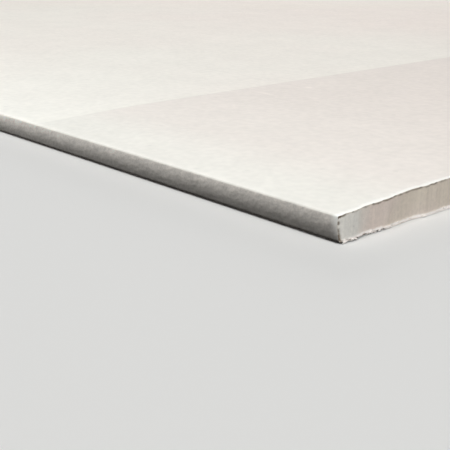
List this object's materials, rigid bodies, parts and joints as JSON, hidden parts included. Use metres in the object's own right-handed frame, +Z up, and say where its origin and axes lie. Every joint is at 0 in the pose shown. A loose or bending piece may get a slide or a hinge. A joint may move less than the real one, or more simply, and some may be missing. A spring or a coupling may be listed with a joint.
{
  "type": "drywall sheet",
  "caption": "Flat gypsum plasterboard sheet with a papered face, tapered long edges wrapped in the face paper, and square sawn ends that show the core.",
  "frame": {"origin": "middle of the sheet's back, on the surface that it lies on", "axes": "+X along the sheet, +Y across it, +Z up out of the papered face"},
  "size_m": [2.4384, 1.2192, 0.0127],
  "materials": {
    "gypsum": "matte, sawn",
    "face_paper": "matte, calendered",
    "back_paper": "matte"
  },
  "bodies": {
    "root": {"gypsum_core": "gypsum", "face_paper": "face_paper", "back_paper": "back_paper"}
  },
  "joints": []
}
